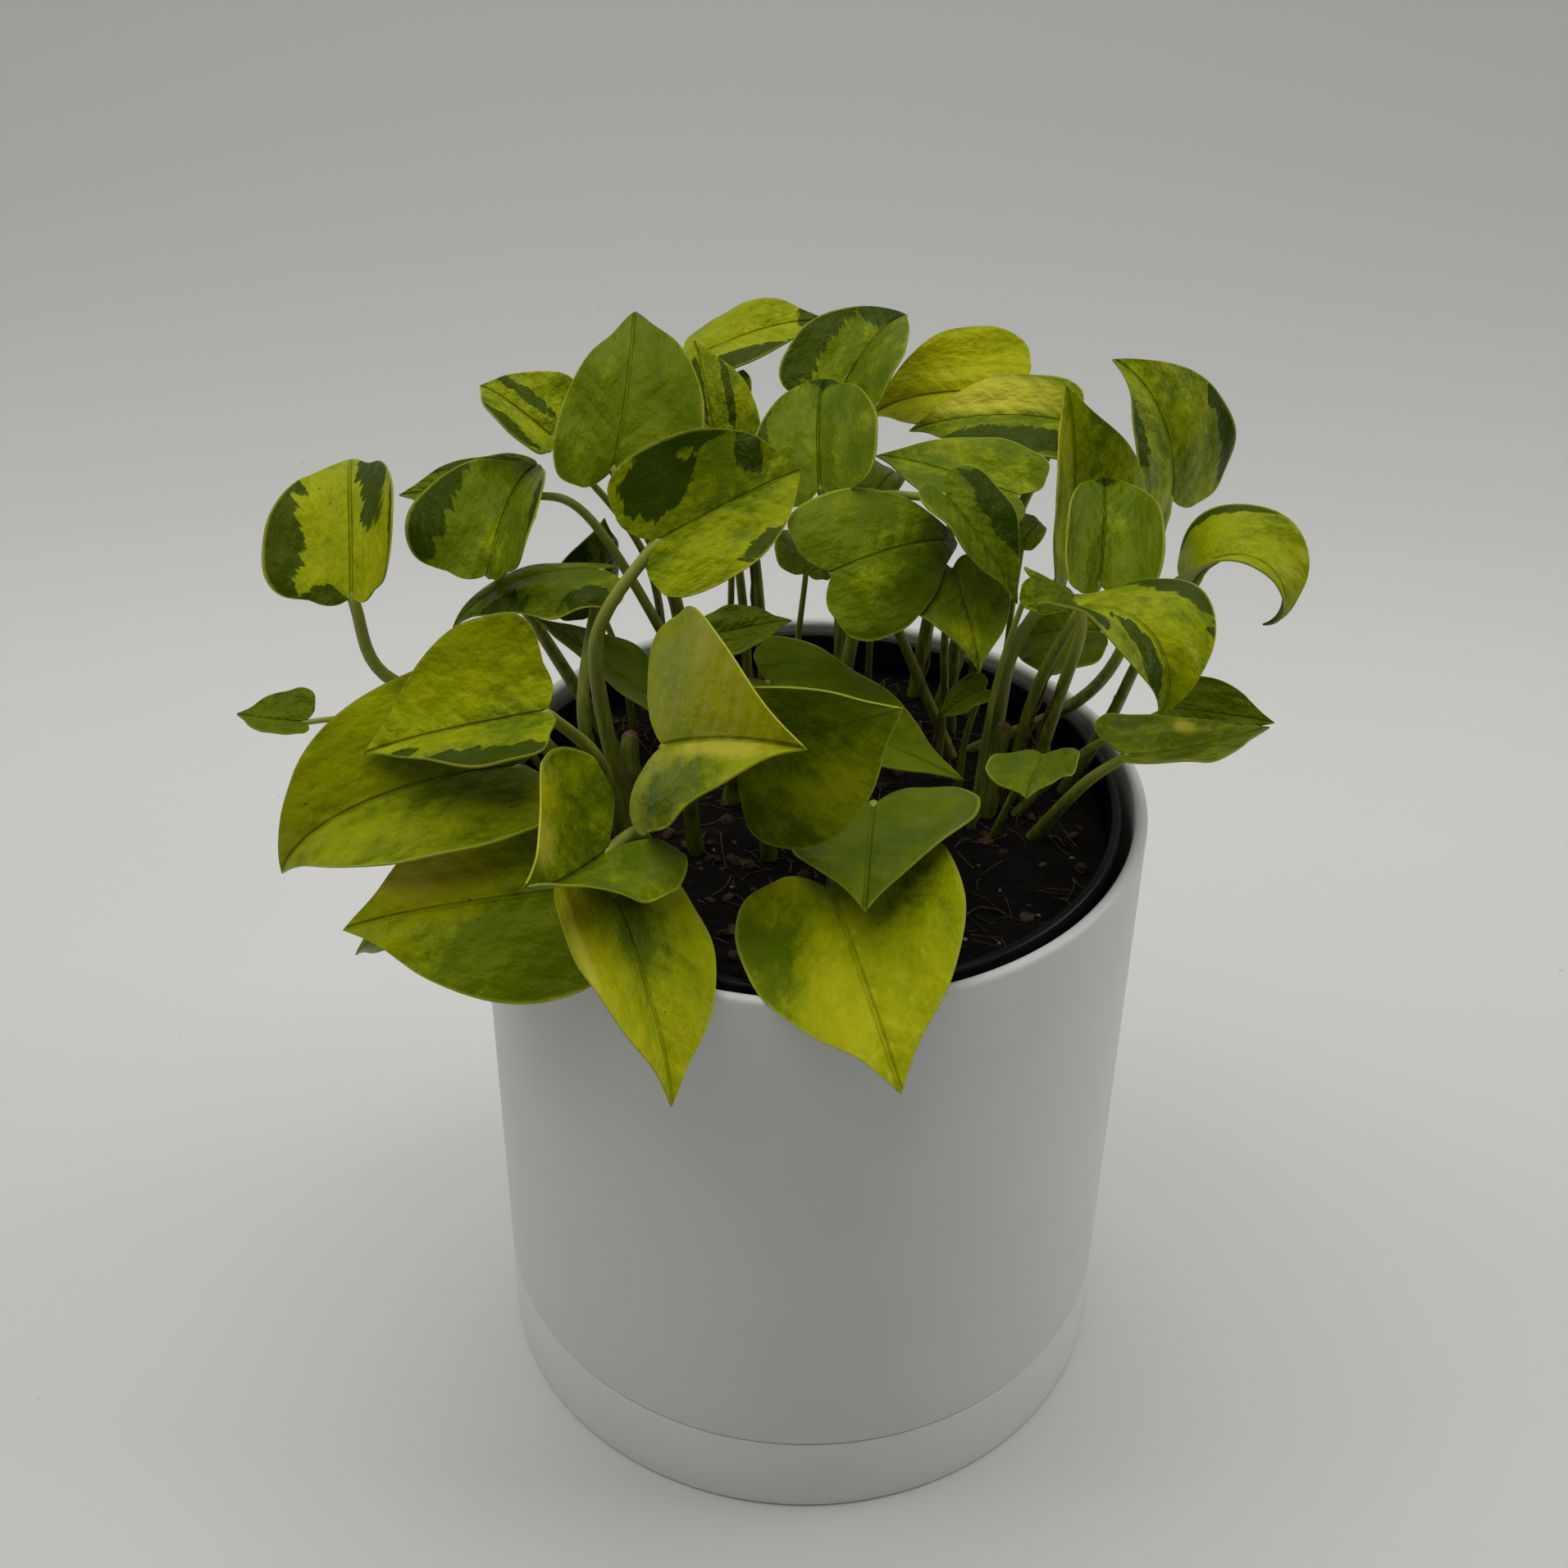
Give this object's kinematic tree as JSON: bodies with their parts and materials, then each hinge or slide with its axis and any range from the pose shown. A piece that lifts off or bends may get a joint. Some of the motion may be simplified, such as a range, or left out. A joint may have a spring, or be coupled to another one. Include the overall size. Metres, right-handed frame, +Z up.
{
  "type": "potted pothos plant",
  "caption": "Variegated pothos houseplant in a nursery pot inside a straight white cylinder planter on a flush saucer.",
  "frame": {"origin": "centre of the saucer's flat underside", "axes": "+Z up along the planter's axis, -Y to the front as seen, +X to the right"},
  "size_m": [0.2502, 0.1989, 0.269],
  "materials": {
    "planter_white": "satin white",
    "saucer_white": "satin warm white",
    "pot_black": "satin black",
    "soil_dark": "rough dark peat",
    "vine_green": "matt green stem",
    "leaf_green": "satin yellow-green leaf"
  },
  "bodies": {
    "root": {"planter": "planter_white", "planter_saucer": "saucer_white", "grower_pot": "pot_black", "potting_soil": "soil_dark", "vine_stem_1": "vine_green", "vine_stem_2": "vine_green", "vine_stem_3": "vine_green", "vine_stem_4": "vine_green", "vine_stem_5": "vine_green", "vine_stem_6": "vine_green", "vine_stem_7": "vine_green", "leaf_01": "leaf_green", "leaf_02": "leaf_green", "leaf_03": "leaf_green", "leaf_04": "leaf_green", "leaf_05": "leaf_green", "leaf_06": "leaf_green", "leaf_07": "leaf_green", "leaf_08": "leaf_green", "leaf_09": "leaf_green", "leaf_10": "leaf_green", "leaf_11": "leaf_green", "leaf_12": "leaf_green", "leaf_13": "leaf_green", "leaf_14": "leaf_green", "leaf_15": "leaf_green", "leaf_16": "leaf_green", "leaf_17": "leaf_green", "leaf_18": "leaf_green", "leaf_19": "leaf_green", "leaf_20": "leaf_green", "leaf_21": "leaf_green", "leaf_22": "leaf_green", "leaf_23": "leaf_green", "leaf_24": "leaf_green", "leaf_25": "leaf_green", "leaf_26": "leaf_green", "leaf_27": "leaf_green", "leaf_28": "leaf_green", "leaf_29": "leaf_green", "leaf_30": "leaf_green", "leaf_31": "leaf_green", "leaf_32": "leaf_green", "leaf_33": "leaf_green", "leaf_34": "leaf_green", "leaf_35": "leaf_green", "leaf_36": "leaf_green", "leaf_37": "leaf_green", "leaf_38": "leaf_green", "leaf_39": "leaf_green", "leaf_40": "leaf_green", "leaf_41": "leaf_green", "leaf_42": "leaf_green", "leaf_43": "leaf_green", "leaf_44": "leaf_green", "leaf_45": "leaf_green", "leaf_46": "leaf_green", "leaf_47": "leaf_green"}
  },
  "joints": []
}
